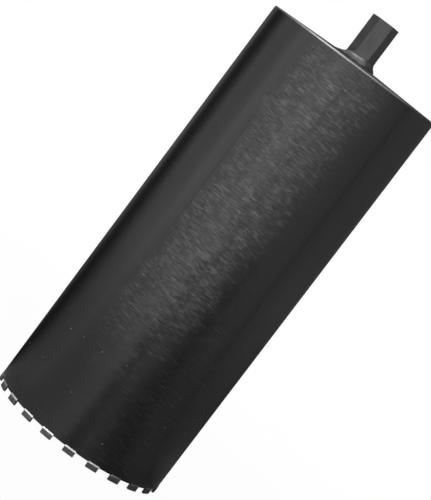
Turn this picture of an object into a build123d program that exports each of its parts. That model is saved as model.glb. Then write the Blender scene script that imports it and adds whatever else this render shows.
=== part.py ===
from build123d import *
import math
import os

# Diamond core bit for a drilling rig. An open steel barrel carries a ring of diamond
# segments on its lower rim. A shallow cone-topped plate closes the upper end, and a
# hexagonal hub with a threaded bore stands in the middle of it.
# Millimetres. The bit stands on its segments: the origin is the middle of the cutting
# plane, and +Z runs up the axis to the hub. The hub's first flat and segment 1 face -Y.

# Crown
crown_diameter = 300.0  # over the segments, the bit's nominal size
segment_count = 22
segment_length = 20.0  # along the outer face
segment_height = 8.85
segment_overhang = 0.75  # how far a segment stands proud of the barrel, inside and out

# Braze that holds each segment on the barrel
braze_gap = 0.15  # film between the segment and the barrel's end
braze_rise = 1.8  # fillet up the barrel from its end

# Barrel
barrel_wall = 3.0
barrel_length = 697.5

# End plate
plate_rim_thickness = 8.0
plate_cone_rise = 3.7  # from the rim to the land
plate_land_diameter = 88.0  # flat land that the hub stands on
plate_fit = 0.1  # radial gap in the barrel
plate_groove_width = 3.6  # weld preparation at the rim, down to the barrel's end

# Weld round the end plate, dressed to a bevel
rim_weld_height = 2.5  # above the barrel's end
rim_weld_bevel = 1.3  # how far the bevel leans in

# Hub
hub_height = 74.3  # from its seat on the plate to its top
hub_bar_diameter = 47.6
hub_across_flats = 41.0
hub_collar_height = 18.1  # up to where the flats are at full depth
hub_cutter_radius = 12.0  # left by the milling cutter under each flat
hub_edge = 0.6
spigot_diameter = 34.0
spigot_fit = 0.1  # radial gap in the plate
thread_bore_diameter = 27.8  # minor diameter of the 1 1/4 inch thread
thread_depth = 45.0
thread_mouth = 2.4  # countersink at the mouth
waterway_diameter = 18.0

# Weld round the hub, laid by hand in two passes: a low apron that lies more to the -X
# side, and over it a bead that climbs towards +X
apron_width = 12.6  # beyond the hub
apron_slope = 17.0  # degrees, as the next slope and climb
apron_shift = 5.5
bead_width = 6.1  # beyond the hub, level with its seat
bead_slope = 51.0
bead_climb = 3.8

# Worked out from the sizes above
barrel_outer = crown_diameter / 2 - segment_overhang
barrel_inner = barrel_outer - barrel_wall
segment_outer = barrel_outer + segment_overhang
segment_inner = barrel_inner - segment_overhang
segment_angle = math.degrees(segment_length / segment_outer)
segment_pitch = 360 / segment_count
barrel_foot = segment_height + braze_gap
barrel_top = barrel_foot + barrel_length
rim_level = barrel_top + rim_weld_height
plate_radius = barrel_inner - plate_fit
plate_underside = rim_level - plate_rim_thickness
hub_seat = rim_level + plate_cone_rise
hub_radius = hub_bar_diameter / 2
hub_top = hub_seat + hub_height
flats_end = hub_seat + hub_collar_height
land_radius = plate_land_diameter / 2
cone_outer = barrel_outer - rim_weld_bevel  # where the cone meets the bevel
groove_inner = plate_radius - plate_groove_width


def cone_level(radius):
    """Height of the plate's cone at a radius from the axis."""
    return rim_level + plate_cone_rise * (cone_outer - radius) / (cone_outer - land_radius)


def groove_level(radius):
    """Height of the weld groove's slope, from the cone down to the inner edge of the barrel's end."""
    share = (radius - groove_inner) / (barrel_inner - groove_inner)
    return cone_level(groove_inner) + (barrel_top - cone_level(groove_inner)) * share


def turned(outline, angle=360.0):
    """Solid of revolution about Z from an outline of (radius, height) points."""
    with BuildPart() as piece:
        with BuildSketch(Plane.XZ):
            with BuildLine():
                Polyline(*outline, close=True)
            make_face()
        revolve(axis=Axis.Z, revolution_arc=angle)
    return piece.part


def make_barrel():
    return turned([
        (barrel_inner, barrel_foot),
        (barrel_outer, barrel_foot),
        (barrel_outer, barrel_top),
        (barrel_inner, barrel_top),
    ])


def facing_front(piece, angle):
    """Turns a piece swept from +X by angle so that its middle faces -Y."""
    return Rot(0, 0, -90 - angle / 2) * piece


def make_segment():
    """One diamond segment, curved like the barrel and wider than its wall."""
    segment = turned([
        (segment_inner, 0),
        (segment_outer, 0),
        (segment_outer, segment_height),
        (segment_inner, segment_height),
    ], segment_angle)
    return facing_front(segment, segment_angle)


def make_braze_joint():
    """Braze of one segment: a film over its top and a fillet up each side of the barrel's wall."""
    fillet_top = barrel_foot + braze_rise
    joint = turned([
        (segment_inner, segment_height),
        (segment_outer, segment_height),
        (barrel_outer, fillet_top),
        (barrel_outer, barrel_foot),
        (barrel_inner, barrel_foot),
        (barrel_inner, fillet_top),
    ], segment_angle)
    return facing_front(joint, segment_angle)


def make_end_plate():
    """Turned plate with a coned top, a weld groove round its rim and a hole for the hub's spigot."""
    hole = spigot_diameter / 2 + spigot_fit
    return turned([
        (hole, plate_underside),
        (plate_radius, plate_underside),
        (plate_radius, groove_level(plate_radius)),
        (groove_inner, groove_level(groove_inner)),
        (land_radius, hub_seat),
        (hole, hub_seat),
    ])


def make_rim_weld():
    """Weld bead in the plate's groove and over the barrel's end, ground to a bevel outside."""
    return turned([
        (barrel_inner, barrel_top),
        (barrel_outer, barrel_top),
        (cone_outer, rim_level),
        (groove_inner, groove_level(groove_inner)),
    ])


def make_flat_cutter():
    """Metal that the milling cutter takes away beside the front flat."""
    flat = hub_across_flats / 2
    clear = hub_radius + hub_cutter_radius
    with BuildPart() as cutter:
        with BuildSketch(Plane.YZ):
            with BuildLine():
                Line((-flat, hub_top), (-flat, flats_end))
                RadiusArc(
                    (-flat, flats_end),
                    (-flat - hub_cutter_radius, flats_end - hub_cutter_radius),
                    hub_cutter_radius,
                )
                Polyline(
                    (-flat - hub_cutter_radius, flats_end - hub_cutter_radius),
                    (-clear - hub_cutter_radius, flats_end - hub_cutter_radius),
                    (-clear - hub_cutter_radius, hub_top),
                    (-flat, hub_top),
                )
            make_face()
        extrude(amount=hub_radius, both=True)
    return cutter.part


def make_hub():
    """Threaded hub, turned and milled from round bar, with a spigot through the plate."""
    spigot = spigot_diameter / 2
    waterway = waterway_diameter / 2
    bore = thread_bore_diameter / 2
    hub = turned([
        (waterway, plate_underside),
        (spigot, plate_underside),
        (spigot, hub_seat),
        (hub_radius, hub_seat),
        (hub_radius, hub_top - hub_edge),
        (hub_radius - hub_edge, hub_top),
        (bore + thread_mouth, hub_top),
        (bore, hub_top - thread_mouth),
        (bore, hub_top - thread_depth),
        (waterway, hub_top - thread_depth),
    ])
    cutter = make_flat_cutter()
    for side in range(6):
        hub -= Rot(0, 0, 60 * side) * cutter
    return hub


def turned_cone(foot, slope):
    """Full cone standing at the origin, with its foot's radius and its slope in degrees."""
    return turned([(0, 0), (foot, 0), (0, foot * math.tan(math.radians(slope)))])


def make_hub_weld():
    """Weld between the hub's collar and the plate, wide on its -X side and steep on its +X side."""
    apron_foot = hub_radius + apron_width
    apron = turned_cone(apron_foot, apron_slope)
    sunk = apron_foot * math.tan(math.radians(bead_climb))
    bead_foot = hub_radius + bead_width + sunk / math.tan(math.radians(bead_slope))
    bead = Pos(0, 0, -sunk) * turned_cone(bead_foot, bead_slope)
    weld = Pos(-apron_shift, 0, 0) * apron + Rot(0, -bead_climb, 0) * bead
    reach = 2 * weld.bounding_box().diagonal
    weld -= Pos(0, 0, -reach / 2) * Cylinder(reach, reach)
    weld -= Cylinder(hub_radius, reach)
    return Pos(0, 0, hub_seat) * weld


def save(name, piece):
    export_step(piece, f"parts/{name}.step")


def main():
    os.makedirs("parts", exist_ok=True)
    save("barrel", make_barrel())
    save("end_plate", make_end_plate())
    save("rim_weld", make_rim_weld())
    save("hub", make_hub())
    save("hub_weld", make_hub_weld())
    segment = make_segment()
    braze_joint = make_braze_joint()
    for number in range(segment_count):
        turn = Rot(0, 0, segment_pitch * number)
        save(f"diamond_segment_{number + 1:02d}", turn * segment)
        save(f"braze_joint_{number + 1:02d}", turn * braze_joint)


main()
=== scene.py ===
import math

import bpy
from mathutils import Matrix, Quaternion, Vector


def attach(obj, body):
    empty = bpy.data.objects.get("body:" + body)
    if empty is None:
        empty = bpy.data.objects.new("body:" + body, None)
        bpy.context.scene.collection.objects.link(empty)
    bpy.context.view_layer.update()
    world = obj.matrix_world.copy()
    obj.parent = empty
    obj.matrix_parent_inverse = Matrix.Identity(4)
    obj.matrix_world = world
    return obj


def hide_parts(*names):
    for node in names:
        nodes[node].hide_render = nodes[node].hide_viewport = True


# Diamond core bit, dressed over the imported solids. Metres, +Z up the axis to the hub.

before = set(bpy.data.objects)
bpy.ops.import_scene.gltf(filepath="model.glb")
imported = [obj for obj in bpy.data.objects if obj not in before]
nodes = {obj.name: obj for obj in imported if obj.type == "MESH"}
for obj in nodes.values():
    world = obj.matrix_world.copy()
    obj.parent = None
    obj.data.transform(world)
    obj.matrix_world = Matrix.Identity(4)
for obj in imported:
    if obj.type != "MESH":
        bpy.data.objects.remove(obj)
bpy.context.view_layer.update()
scene = bpy.context.scene
print("solids loaded:", len(nodes))


class Wire:  # one output of a shader node, which Python operators can work on
    def __init__(self, tree, socket=None):
        self.tree = tree
        self.socket = socket

    def node(self, kind, settings={}, sockets={}, output=0):
        made = self.tree.nodes.new(kind)
        for key, value in settings.items():
            if key == "stops":
                self.fillRamp(made.color_ramp, value)
            else:
                setattr(made, key, value)
        for key, value in sockets.items():
            if isinstance(value, Wire):
                self.tree.links.new(value.socket, made.inputs[key])
            else:
                made.inputs[key].default_value = value
        return Wire(self.tree, made.outputs[output])

    def fillRamp(self, ramp, stops):
        while len(ramp.elements) < len(stops):
            ramp.elements.new(1.0)
        for element, (place, level) in zip(ramp.elements, stops):
            element.position = place
            element.color = (level, level, level, 1.0)

    def output(self, name):  # another output of the same node
        return Wire(self.tree, self.socket.node.outputs[name])

    def maths(self, operation, first, second=0.0, clamp=False):
        settings = {"operation": operation, "use_clamp": clamp}
        return self.node("ShaderNodeMath", settings, {0: first, 1: second})

    def __add__(self, other):
        return self.maths("ADD", self, other)

    def __sub__(self, other):
        return self.maths("SUBTRACT", self, other)

    def __rsub__(self, other):
        return self.maths("SUBTRACT", other, self)

    def __mul__(self, other):
        return self.maths("MULTIPLY", self, other)

    __radd__ = __add__
    __rmul__ = __mul__

    def step(self, low, high):  # 0 under low, 1 over high, soft between them
        settings = {"interpolation_type": "SMOOTHSTEP"}
        if low > high:
            return 1.0 - self.step(high, low)
        return self.node("ShaderNodeMapRange", settings, {"Value": self, "From Min": low, "From Max": high})

    def blend(self, first, second):  # a colour, with this as the mask
        colours = {0: self}
        for place, colour in ((6, first), (7, second)):
            colours[place] = colour if isinstance(colour, Wire) else (*colour, 1.0)
        return self.node("ShaderNodeMix", {"data_type": "RGBA"}, colours, 2)

    def dim(self, share):  # a colour times a number
        return self.node("ShaderNodeVectorMath", {"operation": "SCALE"}, {0: self, "Scale": share})

    def noise(self, scale, detail=3.0, rough=0.5):
        sockets = {"Vector": self, "Scale": scale, "Detail": detail, "Roughness": rough}
        return self.node("ShaderNodeTexNoise", {}, sockets)

    def cells(self, scale):  # how far the nearest of many scattered points is, in cells
        return self.node("ShaderNodeTexVoronoi", {}, {"Vector": self, "Scale": scale}, "Distance")

    def stretched(self, scale):  # the place, scaled along X, Y and Z
        return self.node("ShaderNodeVectorMath", {"operation": "MULTIPLY"}, {0: self, 1: scale})


class Finish:  # a new material, with what most of them read
    def __init__(self, name):
        self.material = bpy.data.materials.new(name)
        self.material.use_nodes = True
        self.shader = self.material.node_tree.nodes["Principled BSDF"]
        self.place = Wire(self.material.node_tree).node("ShaderNodeTexCoord", output="Object")
        split = self.place.node("ShaderNodeSeparateXYZ", {}, {0: self.place})
        x, y = split.output("X"), split.output("Y")
        self.z = split.output("Z")
        self.radius = split.maths("SQRT", x * x + y * y)
        self.azimuth = split.maths("ARCTAN2", x, y * -1.0)  # 0 on the front, -Y, and growing to +X

    def set(self, **values):
        for key, value in values.items():
            socket = self.shader.inputs[key.replace("_", " ")]
            if isinstance(value, Wire):
                self.material.node_tree.links.new(value.socket, socket)
            else:
                socket.default_value = value

    def bump(self, height, distance):
        return height.node("ShaderNodeBump", {}, {"Height": height, "Distance": distance, "Strength": 1.0})

    def rightSide(self, low, high):  # grows from 0 to 1 between two azimuths, and fades behind; it masks the painted shade on the +X side
        return self.azimuth.step(low, high) * self.azimuth.step(2.6, 2.0)


def dress(name, finish):  # gives a CAD node its material
    node = nodes[name]
    node.data.materials.clear()
    node.data.materials.append(finish.material)


# Camera, where the bit's edges and its rim lie as they do in the photograph
cameraPlace = {
    "distance": 2.8,
    "height": 0.690,
    "aimHeight": 0.3567,
    "turn": -2.0,  # degrees round the bit
    "roll": 36.93,
    "sensor": 36,
    "lens": 132.624,
    "clip": (0.05, 100),
}


def setCamera():
    camera = bpy.data.objects.new("camera", bpy.data.cameras.new("camera"))
    scene.collection.objects.link(camera)
    turn = math.radians(cameraPlace["turn"])
    away = cameraPlace["distance"]
    camera.location = (away * math.sin(turn), -away * math.cos(turn), cameraPlace["height"])
    sight = Vector((0, 0, cameraPlace["aimHeight"])) - camera.location
    camera.rotation_mode = "QUATERNION"
    level = sight.to_track_quat("-Z", "Y")
    camera.rotation_quaternion = level @ Quaternion((0, 0, 1), math.radians(cameraPlace["roll"]))
    camera.data.sensor_width = cameraPlace["sensor"]
    camera.data.lens = cameraPlace["lens"]
    camera.data.clip_start, camera.data.clip_end = cameraPlace["clip"]
    scene.camera = camera
    print("camera set")


# Room: a pale floor, a plain pale world and soft lamps
room = {
    "ambient": 0.26,
    "floorSize": 60.0,
    "floorColour": (0.62, 0.62, 0.62, 1.0),
    "floorGlow": 0.97,  # beside the bit, where its shadow shows, and 1 further out
    "glowReach": (0.3, 1.6),
}
lamps = [
    # name, place, aim, width, height, watts
    ("keyLamp", (-0.40, -2.9, 1.10), (0.0, 0.0, 0.60), 1.5, 1.1, 24.0),
    ("leftLamp", (-2.0, -1.9, 2.3), (0.0, 0.0, 0.50), 1.4, 1.4, 48.0),
    ("fillLamp", (2.6, -1.8, 1.4), (0.0, 0.0, 0.40), 1.2, 1.6, 8.0),
    ("backLamp", (0.3, 3.2, 2.2), (0.0, 0.0, 0.50), 1.6, 1.6, 60.0),
]
# What the gloss shows all round, as (degrees from the front towards +X, how bright it is there)
tent = {
    "radius": 4.0,
    "height": 9.0,
    "sides": 96,
    "brightest": 2.1,
    "wall": [
        (-180, 0.05), (-162, 0.13), (-151, 0.20), (-144, 0.08), (-136, 0.03), (-127, 0.03),
        (-118, 0.16), (-107, 0.66), (-91, 0.74),
        (-80, 1.00), (-74, 1.50), (-62, 1.25), (-49, 1.25), (-37, 1.20), (-25, 1.45), (-13, 1.85),
        (-2, 1.10), (10, 1.25), (21, 1.15), (33, 0.80), (45, 0.66), (58, 0.57), (72, 0.50), (79, 0.44),
        (82.5, 0.20), (86, 0.40), (104, 0.34), (126, 0.18), (142, 0.11), (180, 0.05),
    ],
    "cloth": [
        (-180, 0.05), (-162, 0.11), (-151, 0.16), (-144, 0.08), (-136, 0.03), (-127, 0.03),
        (-118, 0.12), (-107, 0.45), (-91, 0.92),
        (-80, 1.10), (-74, 1.40), (-62, 1.15), (-49, 1.05), (-37, 1.20), (-25, 1.50), (-13, 1.70),
        (-3, 0.45), (10, 0.90), (21, 0.48), (32, 0.22), (43, 0.16), (51, 0.42), (60, 0.50), (79, 0.46),
        (82.5, 0.20), (86, 0.44),
        (104, 0.38), (126, 0.22), (142, 0.11), (180, 0.05),
    ],
    "clothLift": 0.001,
    "clothNear": 0.43,  # how bright it is beside the bit, as a share
    "clothReach": (0.4, 3.4),
    "beside": (0.85, 1.35),  # radians from the front, where the cloth is darker near the bit
    "besideReach": (0.36, 0.18),
    "besideShade": 0.45,
}


def reflectionOnly(name, stops, near):  # a stage piece that only gloss sees
    card = bpy.context.object
    card.name = name
    paint = bpy.data.materials.new(name)
    paint.use_nodes = True
    tree = paint.node_tree
    tree.nodes.remove(tree.nodes["Principled BSDF"])
    place = Wire(tree).node("ShaderNodeTexCoord", output="Object")
    split = place.node("ShaderNodeSeparateXYZ", {}, {0: place})
    x, y = split.output("X"), split.output("Y")
    azimuth = x.maths("ARCTAN2", x, y * -1.0)
    turn = azimuth * (0.5 / math.pi) + 0.5
    ramp = [((degrees + 180) / 360, level / tent["brightest"]) for degrees, level in stops]
    level = turn.node("ShaderNodeValToRGB", {"stops": ramp}, {0: turn}, "Color")
    radius = x.maths("SQRT", x * x + y * y)
    reach = radius.step(*tent["clothReach"]) * (1.0 - near) + near
    beside = x.maths("ABSOLUTE", azimuth).step(*tent["beside"]) * radius.step(*tent["besideReach"])
    reach = reach * (1.0 - beside * tent["besideShade"])
    glow = x.node("ShaderNodeEmission", {}, {"Color": level, "Strength": reach * tent["brightest"]})
    tree.links.new(glow.socket, tree.nodes["Material Output"].inputs["Surface"])
    card.data.materials.append(paint)
    card.visible_camera = False
    card.visible_diffuse = False
    card.visible_shadow = False
    card.visible_transmission = False


def seenPlainly(tree):  # 1 for what the camera, gloss and glass see, 0 for the light it gives
    rays = Wire(tree).node("ShaderNodeLightPath", output="Is Camera Ray")
    return rays.maths("ADD", rays + rays.output("Is Glossy Ray"), rays.output("Is Transmission Ray"), True)


def lightWorld():
    scene.view_settings.view_transform = "Standard"
    world = bpy.data.worlds.new("paleRoom")
    scene.world = world
    world.use_nodes = True
    tree = world.node_tree
    strength = seenPlainly(tree) * (1.0 - room["ambient"]) + room["ambient"]
    tree.links.new(strength.socket, tree.nodes["Background"].inputs["Strength"])
    tree.nodes["Background"].inputs["Color"].default_value = (1, 1, 1, 1)


def layFloor():
    bpy.ops.mesh.primitive_plane_add(size=room["floorSize"])
    floor = bpy.context.object
    floor.name = "floor"
    paint = bpy.data.materials.new("paleFloor")
    paint.use_nodes = True
    tree = paint.node_tree
    tree.nodes.remove(tree.nodes["Principled BSDF"])
    seen = seenPlainly(tree)
    matt = seen.node("ShaderNodeBsdfDiffuse", {}, {"Color": room["floorColour"]})
    glow = seen.node("ShaderNodeEmission", {}, {"Color": (1, 1, 1, 1), "Strength": 1.0})
    place = seen.node("ShaderNodeTexCoord", output="Object")
    away = place.node("ShaderNodeVectorMath", {"operation": "LENGTH"}, {0: place}, "Value")
    pale = away.step(*room["glowReach"]) * (1.0 - room["floorGlow"]) + room["floorGlow"]
    top = seen.node("ShaderNodeMixShader", {}, {0: seen * pale, 1: matt, 2: glow})
    under = seen.node("ShaderNodeBsdfTransparent")
    side = seen.node("ShaderNodeNewGeometry", output="Backfacing")
    both = seen.node("ShaderNodeMixShader", {}, {0: side, 1: top, 2: under})
    tree.links.new(both.socket, tree.nodes["Material Output"].inputs["Surface"])
    floor.data.materials.append(paint)


def hangLamps():
    for name, place, aim, width, height, watts in lamps:
        light = bpy.data.lights.new(name, "AREA")
        light.shape = "RECTANGLE"
        light.size = width
        light.size_y = height
        light.energy = watts
        lamp = bpy.data.objects.new(name, light)
        lamp.location = place
        lamp.rotation_euler = (Vector(aim) - Vector(place)).to_track_quat("-Z", "Y").to_euler()
        lamp.visible_glossy = name == "leftLamp"  # the tent is what the gloss shows elsewhere
        scene.collection.objects.link(lamp)


def pitchTent():
    bpy.ops.mesh.primitive_cylinder_add(
        vertices=tent["sides"], radius=tent["radius"], depth=tent["height"], end_fill_type="NOTHING",
        location=(0, 0, tent["height"] / 2))
    reflectionOnly("tentWall", tent["wall"], 1.0)
    bpy.ops.mesh.primitive_circle_add(
        vertices=tent["sides"], radius=tent["radius"], fill_type="NGON", location=(0, 0, tent["clothLift"]))
    reflectionOnly("tentCloth", tent["cloth"], tent["clothNear"])


# Barrel: glossy black lacquer, rubbed and finely scratched in a zone down its front, bare inside. That zone
# lies where the light falls on the front, so its lighter rubbed and scratch colours are partly painted
# highlight
barrelLook = {
    "radius": 0.14925,
    "black": (0.0085, 0.0085, 0.0088),
    "rubbedAndLit": (0.036, 0.036, 0.037),
    "litScratch": (0.125, 0.125, 0.127),
    "speck": (0.200, 0.195, 0.185),
    "bare": (0.055, 0.052, 0.048),
    "zoneLeft": -31.3,  # degrees from the front
    "zoneRight": 24.1,
    "zoneLean": 0.30,  # how fast its right edge comes in towards the crown
    "zoneFoot": (0.10, 0.32),  # heights between which it comes in
    "zoneTop": (0.705, 0.670),
    "fineStrokes": (50, 1, 720),  # per metre round the barrel and up it
    "coarseStrokes": (30, 1, 440),
    "darkStrokes": (60, 1, 560),
    "bands": (110, 1, 12),
    "patches": (46, 1, 60),
    "slant": 0.07,
    "lapWidth": (0.0020, 0.0006),
    "specksUnder": (0.26, 0.12),
    "roughness": 0.17,
    "bumpHeight": 0.00006,
    "bareWithin": 0.1478,
}


def barrelLacquer():
    finish = Finish("barrelLacquer")
    place, look = finish.place, barrelLook
    wander = place.noise(9.0, 2.0) * 0.18 - 0.09
    frayed = place.noise(60.0, 2.0) * 0.16 - 0.08
    angle = finish.azimuth + wander + frayed
    left, right = math.radians(look["zoneLeft"]), math.radians(look["zoneRight"])
    lean = (0.70 - finish.z) * look["zoneLean"]
    # painted highlight in part: the zone runs down the front where the light falls, and narrows towards the
    # crown as the highlight does
    zone = angle.step(left - 0.06, left + 0.14) * (angle + lean).step(right + 0.14, right - 0.20)
    zone = zone * (finish.z + place.noise(12.0, 2.0) * 0.16 - 0.08).step(*look["zoneFoot"])
    topped = (finish.z + frayed * 0.1).step(*look["zoneTop"])
    elsewhere = place.stretched((1, 1, 0.35)).noise(4.0, 1.0).step(0.50, 0.68) * 0.14
    wornAndLit = zone.maths("MAXIMUM", zone, elsewhere)

    around = finish.azimuth * look["radius"]
    tilted = finish.z + around * (place.noise(5.0, 1.0) * 0.24 + look["slant"] - 0.12)
    tilted = tilted + place.noise(55.0, 2.0) * 0.0050
    across = place.node("ShaderNodeCombineXYZ", {}, {0: around, 2: tilted})
    fine = across.stretched(look["fineStrokes"]).noise(1.0, 3.0, 0.6).step(0.53, 0.65)
    coarse = across.stretched(look["coarseStrokes"]).noise(1.0, 2.0, 0.5).step(0.59, 0.69)
    dark = across.stretched(look["darkStrokes"]).noise(1.0, 3.0, 0.60).step(0.52, 0.40)
    bands = across.stretched(look["bands"]).noise(1.0, 2.0, 0.5).step(0.36, 0.62)
    patches = across.stretched(look["patches"]).noise(1.0, 4.0, 0.65).step(0.38, 0.62)
    rubbedAndLit = wornAndLit * (patches * 0.45 + bands * 0.25 + 0.25) * (1.0 - dark)
    litScratches = fine.maths("MAXIMUM", fine, coarse) * wornAndLit * (patches * 0.6 + 0.4) * topped

    beyond = (finish.azimuth + wander * 0.25 - left) * look["radius"]
    lap = beyond.maths("ABSOLUTE", beyond).step(*look["lapWidth"])  # line along the zone's left edge
    lap = lap * (finish.z + wander).step(0.26, 0.34) * (finish.z + wander).step(0.62, 0.54)
    specks = place.cells(58.0).step(0.075, 0.045) * place.noise(23.0, 1.0).step(0.45, 0.50)
    specks = specks * finish.z.step(*look["specksUnder"])

    # the lighter rubbed and scratch colours in the zone are partly real rubbing and scratches, and partly
    # painted highlight
    colour = rubbedAndLit.blend(look["black"], look["rubbedAndLit"])
    colour = (litScratches * 0.95).blend(colour, look["litScratch"])
    colour = specks.blend(colour.dim(1.0 - lap * 0.7), look["speck"])
    outside = finish.radius.step(look["bareWithin"] - 0.0002, look["bareWithin"])
    colour = outside.blend(look["bare"], colour)
    rough = look["roughness"] + rubbedAndLit * 0.16 + place.noise(30.0, 2.0) * 0.04
    height = place.noise(13.0, 2.0) * 12.0 + place.noise(700.0, 2.0) * 0.2
    height = height + litScratches * 0.4 - dark * wornAndLit * 0.3 - lap * 7.0
    finish.set(Base_Color=colour, Roughness=rough, Normal=finish.bump(height, look["bumpHeight"]))
    return finish


plateLook = {
    "black": (0.036, 0.036, 0.037),
    "grey": (0.074, 0.074, 0.075),
    "rings": 1400.0,
}


def plateLacquer():
    finish = Finish("plateLacquer")
    rings = finish.place.node("ShaderNodeCombineXYZ", {}, {0: finish.radius})
    turned = rings.noise(plateLook["rings"], 3.0, 0.7)
    clouds = finish.place.noise(20.0, 3.0).step(0.3, 0.75)
    colour = (clouds * 0.6).blend(plateLook["black"], plateLook["grey"])
    finish.set(Base_Color=colour, Roughness=0.36 + clouds * 0.10, Normal=finish.bump(turned, 0.00008))
    return finish


edgeLook = {
    "steel": (0.34, 0.337, 0.331),
    "dull": (0.20, 0.197, 0.193),
    "black": (0.032, 0.032, 0.033),
    "bevelFrom": 0.1476,
    "edgeShadeBetween": (0.40, 0.75),  # azimuths between which the bright metal ends, as painted shade where the edge's highlight falls off
}


def dressedEdge():
    finish = Finish("dressedEdge")
    marks = finish.place.stretched((260, 260, 40)).noise(1.0, 3.0, 0.6)
    lapped = finish.place.noise(30.0, 3.0) * 0.0012 - 0.0006
    bare = (finish.radius + lapped).step(edgeLook["bevelFrom"] - 0.0004, edgeLook["bevelFrom"] + 0.0002)
    # painted shade: the bare steel fades to the black colour towards the +X side, away from the light
    bare = bare * (1.0 - finish.azimuth.step(*edgeLook["edgeShadeBetween"]) * 0.93)
    steel = marks.blend(edgeLook["dull"], edgeLook["steel"])
    colour = bare.blend(edgeLook["black"], steel)
    finish.set(Base_Color=colour, Metallic=bare, Roughness=0.38 + marks * 0.15)
    finish.set(Normal=finish.bump(marks, 0.00008))
    return finish


hubLook = {
    "black": (0.036, 0.036, 0.037),
    "grey": (0.072, 0.072, 0.073),
    "steel": (0.42, 0.41, 0.40),
    "boreReach": 0.0166,
}


def hubLacquer():
    finish = Finish("hubLacquer")
    place = finish.place
    marks = place.stretched((60, 60, 1100)).noise(1.0, 3.0, 0.6)
    clouds = place.noise(60.0, 3.0).step(0.3, 0.75)
    colour = (clouds * 0.5).blend(hubLook["black"], hubLook["grey"])
    bore = finish.radius.step(hubLook["boreReach"] + 0.0003, hubLook["boreReach"])
    colour = bore.blend(colour, hubLook["steel"])
    finish.set(Base_Color=colour, Metallic=bore, Roughness=0.27 + clouds * 0.08)
    finish.set(Normal=finish.bump(marks, 0.00005))
    return finish


weldLook = {
    "black": (0.016, 0.016, 0.017),
    "grey": (0.045, 0.045, 0.046),
    # the steel colour is the colour of the painted highlight on the weld's upper fillet
    "steel": (0.20, 0.20, 0.197),
    "ripples": 46,
    "highlightFrom": -74,  # degrees from the front, where a lighter patch is painted as a highlight
    "highlightTo": 20,
    "highlightOver": (0.7136, 0.7152),
}


def weldLacquer():
    finish = Finish("weldLacquer")
    swirl = finish.azimuth + finish.radius * 14.0 + finish.place.noise(30.0, 2.0) * 0.3
    ripple = swirl.maths("SINE", swirl * weldLook["ripples"]) * 0.25 + finish.place.noise(140.0, 2.0)
    clouds = finish.place.noise(90.0, 3.0).step(0.3, 0.75)
    colour = (clouds * 0.6).blend(weldLook["black"], weldLook["grey"])
    # painted highlight: a lighter, slightly metallic patch on the front-left of the weld's upper fillet
    start, end = math.radians(weldLook["highlightFrom"]), math.radians(weldLook["highlightTo"])
    highlightPatch = finish.azimuth.step(start - 0.1, start + 0.25) * finish.azimuth.step(end + 0.15, end - 0.25)
    highlightPatch = highlightPatch * (finish.z + clouds * 0.0010).step(*weldLook["highlightOver"]) * (clouds * 0.3 + 0.65)
    colour = highlightPatch.blend(colour, weldLook["steel"])
    finish.set(Base_Color=colour, Metallic=highlightPatch * 0.3, Roughness=0.18 + clouds * 0.08 + highlightPatch * 0.2)
    finish.set(Normal=finish.bump(ripple, 0.00018), Specular_IOR_Level=1.0)
    return finish


bondLook = {
    "dark": (0.040, 0.039, 0.038),
    "pale": (0.120, 0.118, 0.114),
    "grit": (0.26, 0.25, 0.235),
    "segmentShadeBetween": (0.25, 0.75),  # azimuths between which the segments get darker, as painted shade away from the light
}


def diamondBond():
    finish = Finish("diamondBond")
    place = finish.place
    mottle = place.noise(420.0, 4.0, 0.65).step(0.32, 0.70)
    grit = place.cells(1500.0).step(0.30, 0.14) * place.noise(700.0, 1.0).step(0.50, 0.60)
    colour = (grit * 0.7).blend(mottle.blend(bondLook["dark"], bondLook["pale"]), bondLook["grit"])
    height = mottle * 0.5 + grit
    # painted shade: the segments darken towards the +X side, away from the light
    colour = (finish.rightSide(*bondLook["segmentShadeBetween"]) * 0.7).blend(colour, bondLook["dark"])
    finish.set(Base_Color=colour, Metallic=0.35, Roughness=0.50 + mottle * 0.14)
    finish.set(Normal=finish.bump(height, 0.00018))
    return finish


brazeLook = {
    "silver": (0.68, 0.67, 0.65),
    "flux": (0.36, 0.35, 0.33),
    "shadedBraze": (0.10, 0.095, 0.085),
    "brazeShadeBetween": (0.25, 0.65),  # azimuths between which it gets darker, as painted shade away from the light
}


def silverBraze():
    finish = Finish("silverBraze")
    tarnish = finish.place.noise(300.0, 3.0).step(0.45, 0.80)
    colour = tarnish.blend(brazeLook["silver"], brazeLook["flux"])
    # painted shade: the silver darkens towards the +X side, where less light reaches it
    colour = (finish.rightSide(*brazeLook["brazeShadeBetween"]) * 0.85).blend(colour, brazeLook["shadedBraze"])
    flow = finish.place.noise(700.0, 2.0)
    finish.set(Base_Color=colour, Metallic=0.9, Roughness=0.30 + tarnish * 0.15)
    finish.set(Normal=finish.bump(flow, 0.00012))
    return finish


def takeUp(piece):  # the one piece that is selected and active
    bpy.ops.object.select_all(action="DESELECT")
    piece.select_set(True)
    bpy.context.view_layer.objects.active = piece


def edit(piece):  # edit mode on one piece, with nothing selected in it
    takeUp(piece)
    bpy.ops.object.mode_set(mode="EDIT")
    bpy.ops.mesh.select_all(action="DESELECT")
    bpy.ops.mesh.select_mode(type="VERT")


def pick(piece, test):  # selects the points whose place passes the test
    bpy.ops.object.mode_set(mode="OBJECT")
    mesh = piece.data
    for part in (*mesh.edges, *mesh.polygons):
        part.select = False
    for corner in mesh.vertices:
        corner.select = test(corner.co)
    bpy.ops.object.mode_set(mode="EDIT")
    bpy.ops.mesh.select_mode(type="VERT")


def modify(piece, kind, **settings):  # adds a modifier and applies it
    modifier = piece.modifiers.new(kind.lower(), kind)
    for key, value in settings.items():
        setattr(modifier, key, value)
    takeUp(piece)
    bpy.ops.object.modifier_apply(modifier=modifier.name)


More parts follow.
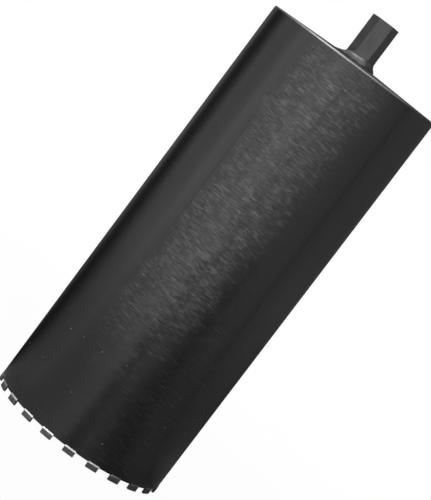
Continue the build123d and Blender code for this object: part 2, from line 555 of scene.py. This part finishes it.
def keep(piece, name, finish, node):  # a finished piece takes the place of a CAD node
    piece.name = name
    piece.data.name = name
    piece.data.materials.clear()
    piece.data.materials.append(finish.material)
    takeUp(piece)
    bpy.ops.object.transform_apply(location=True, rotation=True, scale=True)
    bpy.ops.object.shade_smooth_by_angle(angle=math.radians(28))
    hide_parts(node)
    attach(piece, "root")


def copyNode(name):  # a copy of a CAD node, with its loose triangles joined to clean faces
    piece = bpy.data.objects.new(name, nodes[name].data.copy())
    scene.collection.objects.link(piece)
    edit(piece)
    bpy.ops.mesh.select_all(action="SELECT")
    bpy.ops.mesh.remove_doubles(threshold=2e-6)
    bpy.ops.mesh.dissolve_limited(angle_limit=math.radians(0.8))
    bpy.ops.object.mode_set(mode="OBJECT")
    return piece


# Hub: edges broken, and the thread cut in its bore
hubShape = {
    "edgeBreak": 0.00035,
    "pitch": 0.003629,
    "minor": 0.0139,
    "major": 0.0158,
    "overlap": 0.0009,  # how far the cutter reaches into the open bore
    "mouthShare": 0.86,  # of the pitch, how wide the groove is cut at the bore
    "rootShare": 0.16,  # of that, how wide it is at its root
    "bottom": 0.7440,
    "turns": 12,
}


def makeHub(finish):
    shape = hubShape
    hub = copyNode("hub")
    modify(hub, "BEVEL", width=shape["edgeBreak"], segments=2, limit_method="ANGLE",
           angle_limit=math.radians(24))
    bpy.ops.mesh.primitive_plane_add(size=1)
    cutter = bpy.context.object
    cutter.name = "threadCutter"
    edit(cutter)
    bpy.ops.mesh.select_all(action="SELECT")
    bpy.ops.transform.rotate(value=math.radians(90), orient_axis="X", center_override=(0, 0, 0))
    inner = shape["minor"] - shape["overlap"]
    size = (shape["major"] - inner, 1, shape["pitch"] * shape["mouthShare"])
    bpy.ops.transform.resize(value=size, center_override=(0, 0, 0))
    bpy.ops.transform.translate(value=((inner + shape["major"]) / 2, 0, shape["bottom"]))
    pick(cutter, lambda spot: spot.x > shape["minor"])
    root = (shape["major"], 0, shape["bottom"])
    bpy.ops.transform.resize(value=(1, 1, shape["rootShare"]), center_override=root)
    bpy.ops.object.mode_set(mode="OBJECT")
    modify(cutter, "SCREW", axis="Z", angle=math.radians(360), screw_offset=shape["pitch"],
           iterations=shape["turns"], steps=64, render_steps=64, use_merge_vertices=False)
    edit(cutter)
    bpy.ops.mesh.select_all(action="SELECT")
    bpy.ops.mesh.remove_doubles(threshold=1e-6)
    bpy.ops.mesh.select_all(action="DESELECT")
    bpy.ops.mesh.select_non_manifold()
    bpy.ops.mesh.edge_face_add()
    bpy.ops.mesh.select_all(action="SELECT")
    bpy.ops.mesh.normals_make_consistent(inside=False)
    bpy.ops.object.mode_set(mode="OBJECT")
    modify(hub, "BOOLEAN", operation="DIFFERENCE", solver="EXACT", object=cutter)
    bpy.data.objects.remove(cutter)
    keep(hub, "threadedHub", finish, "hub")
    modify(hub, "WEIGHTED_NORMAL", keep_sharp=True)
    print("hub made:", len(hub.data.polygons), "faces")


# Weld round the hub, in rings from the toe to the collar
hubWeld = {
    "seat": 0.7127,
    "rings": [  # height over the plate, radius, shift to the left and to the front, and climb in degrees
        (0.00000, 0.03680, 0.00470, 0.0000, 0.0),
        (0.00035, 0.03600, 0.00440, 0.0000, 0.0),
        (0.00090, 0.03460, 0.00340, 0.0001, 0.5),
        (0.00205, 0.03200, 0.00200, 0.0004, 0.8),
        (0.00365, 0.02955, 0.00095, 0.0008, 1.1),
        (0.00505, 0.02705, 0.00010, 0.0012, 1.6),
        (0.00610, 0.02580, -0.00010, 0.0013, 2.5),
        (0.00730, 0.02490, -0.00005, 0.0012, 3.5),
        (0.00870, 0.02435, 0.00000, 0.0010, 4.3),
        (0.01020, 0.02395, 0.00000, 0.0006, 4.6),
        (0.01110, 0.02350, 0.00000, 0.0003, 4.6),
    ],
    "sides": 128,
    "unevenness": 0.00016,
    "flatToe": 0.0002,  # height over the plate up to which the weld stays even
}


def makeHubWeld(finish):
    seat = hubWeld["seat"]
    height, radius, left, front, climb = hubWeld["rings"][0]
    bpy.ops.object.select_all(action="DESELECT")
    bpy.ops.mesh.primitive_circle_add(
        vertices=hubWeld["sides"], radius=radius, fill_type="NGON", location=(-left, -front, seat + height))
    weld = bpy.context.object
    bpy.ops.object.transform_apply(location=True)
    edit(weld)
    bpy.ops.mesh.select_mode(type="FACE")
    bpy.ops.mesh.select_all(action="SELECT")
    for ring in hubWeld["rings"][1:]:
        move = (left - ring[2], front - ring[3], ring[0] - height)
        bpy.ops.mesh.extrude_region_move(TRANSFORM_OT_translate={"value": move})
        middle = (-ring[2], -ring[3], seat + ring[0])
        grow = ring[1] / radius
        bpy.ops.transform.resize(value=(grow, grow, 1), center_override=middle)
        bpy.ops.transform.rotate(
            value=math.radians(ring[4] - climb), orient_axis="Y", center_override=middle)
        height, radius, left, front, climb = ring
    bpy.ops.mesh.select_mode(type="VERT")
    pick(weld, lambda spot: spot.z > seat + hubWeld["flatToe"])
    bpy.ops.transform.vertex_random(offset=hubWeld["unevenness"], uniform=0.3, normal=1.0, seed=4)
    bpy.ops.object.mode_set(mode="OBJECT")
    modify(weld, "SUBSURF", levels=1, render_levels=1)
    keep(weld, "hubWeldBead", finish, "hub_weld")
    print("hub weld made:", len(weld.data.polygons), "faces")


# Diamond segments: worn corners on each, and no two alike
segmentShape = {
    "count": 22,
    "cornerWear": 0.00045,
    "inset": 0.00012,
    "unevenness": 0.00005,
}


def makeSegments(bond):
    first = copyNode("diamond_segment_01")
    edit(first)
    bpy.ops.mesh.select_all(action="SELECT")
    bpy.ops.transform.shrink_fatten(value=-segmentShape["inset"], use_even_offset=True)
    bpy.ops.object.mode_set(mode="OBJECT")
    modify(first, "BEVEL", width=segmentShape["cornerWear"], segments=3, limit_method="ANGLE",
           angle_limit=math.radians(40))
    edit(first)
    bpy.ops.mesh.select_all(action="SELECT")
    bpy.ops.mesh.quads_convert_to_tris()
    bpy.ops.mesh.subdivide(number_cuts=1)
    bpy.ops.object.mode_set(mode="OBJECT")
    for number in range(1, segmentShape["count"] + 1):
        segment = bpy.data.objects.new("segment", first.data.copy())
        scene.collection.objects.link(segment)
        edit(segment)
        bpy.ops.mesh.select_all(action="SELECT")
        bpy.ops.transform.vertex_random(
            offset=segmentShape["unevenness"], uniform=1.0, normal=0.0, seed=number)
        bpy.ops.object.mode_set(mode="OBJECT")
        segment.rotation_euler.z = math.radians(360 / segmentShape["count"] * (number - 1))
        keep(segment, f"segment{number:02d}", bond, f"diamond_segment_{number:02d}")
    bpy.data.objects.remove(first)
    print("segments made:", segmentShape["count"])


# Braze of each segment: it laps over the segment's top and climbs the barrel's wall
brazeShape = {
    "foot": 0.0081,  # heights
    "film": 0.0090,
    "shoulder": 0.0097,
    "top": 0.0108,
    "inner": (0.14556, 0.14595, 0.14621),  # radius inside at the foot, the shoulder and the top
    "outer": (0.14994, 0.14962, 0.14929),
    "spread": 7.66,  # degrees that it covers
    "steps": 14,
    "wave": 0.00024,
}


def onEdge(spot, part):  # whether a point is on a wavy edge, and in this third of its steps
    shape = brazeShape
    share = math.degrees(math.atan2(spot.x, -spot.y)) / shape["spread"] + 0.5
    edge = abs(spot.z - shape["foot"]) < 1e-5 or abs(spot.z - shape["top"]) < 1e-5
    return edge and round(share * shape["steps"]) % 3 == part


def makeBraze(silver):
    shape = brazeShape
    bpy.ops.object.select_all(action="DESELECT")
    bpy.ops.mesh.primitive_plane_add(size=1)
    first = bpy.context.object
    edit(first)
    bpy.ops.mesh.select_all(action="SELECT")
    bpy.ops.transform.rotate(value=math.radians(90), orient_axis="X", center_override=(0, 0, 0))
    thick, high = shape["outer"][0] - shape["inner"][0], shape["top"] - shape["foot"]
    centre = shape["inner"][0] + thick / 2
    bpy.ops.transform.resize(value=(thick, 1, high), center_override=(0, 0, 0))
    bpy.ops.transform.translate(value=(centre, 0, shape["foot"] + high / 2))
    for level in (shape["film"], shape["shoulder"]):
        bpy.ops.mesh.select_all(action="SELECT")
        bpy.ops.mesh.bisect(plane_co=(0, 0, level), plane_no=(0, 0, 1))
    for row, level in ((1, shape["shoulder"]), (2, shape["top"])):
        middle = (shape["inner"][row] + shape["outer"][row]) / 2
        grow = (shape["outer"][row] - shape["inner"][row]) / thick
        pick(first, lambda spot: abs(spot.z - level) < 1e-5)
        bpy.ops.transform.resize(value=(grow, 1, 1), center_override=(centre, 0, level))
        bpy.ops.transform.translate(value=(middle - centre, 0, 0))
    bpy.ops.mesh.select_all(action="SELECT")
    spread = math.radians(shape["spread"])
    bpy.ops.mesh.spin(steps=shape["steps"], angle=spread, center=(0, 0, 0), axis=(0, 0, 1))
    bpy.ops.mesh.select_all(action="SELECT")
    bpy.ops.mesh.remove_doubles(threshold=1e-6)
    bpy.ops.mesh.normals_make_consistent(inside=False)
    bpy.ops.transform.rotate(value=math.radians(90 - shape["spread"] / 2), center_override=(0, 0, 0))
    bpy.ops.object.mode_set(mode="OBJECT")
    for number in range(1, segmentShape["count"] + 1):
        braze = bpy.data.objects.new("braze", first.data.copy())
        scene.collection.objects.link(braze)
        edit(braze)
        for part in range(3):  # every third point of both edges goes its own way
            pick(braze, lambda spot: onEdge(spot, part))
            wave = shape["wave"] * math.sin(number * 2.4 + part * 2.1)
            bpy.ops.transform.translate(value=(0, 0, wave))
        bpy.ops.object.mode_set(mode="OBJECT")
        braze.rotation_euler.z = math.radians(360 / segmentShape["count"] * (number - 1))
        keep(braze, f"brazeFillet{number:02d}", silver, f"braze_joint_{number:02d}")
    bpy.data.objects.remove(first)
    print("braze made:", segmentShape["count"])


def dressFrame():
    dress("barrel", barrelLacquer())
    dress("end_plate", plateLacquer())
    dress("rim_weld", dressedEdge())
    makeHub(hubLacquer())
    makeHubWeld(weldLacquer())
    makeSegments(diamondBond())
    makeBraze(silverBraze())
    print("finishes on")


setCamera()
lightWorld()
layFloor()
hangLamps()
pitchTent()
print("room lit")
dressFrame()
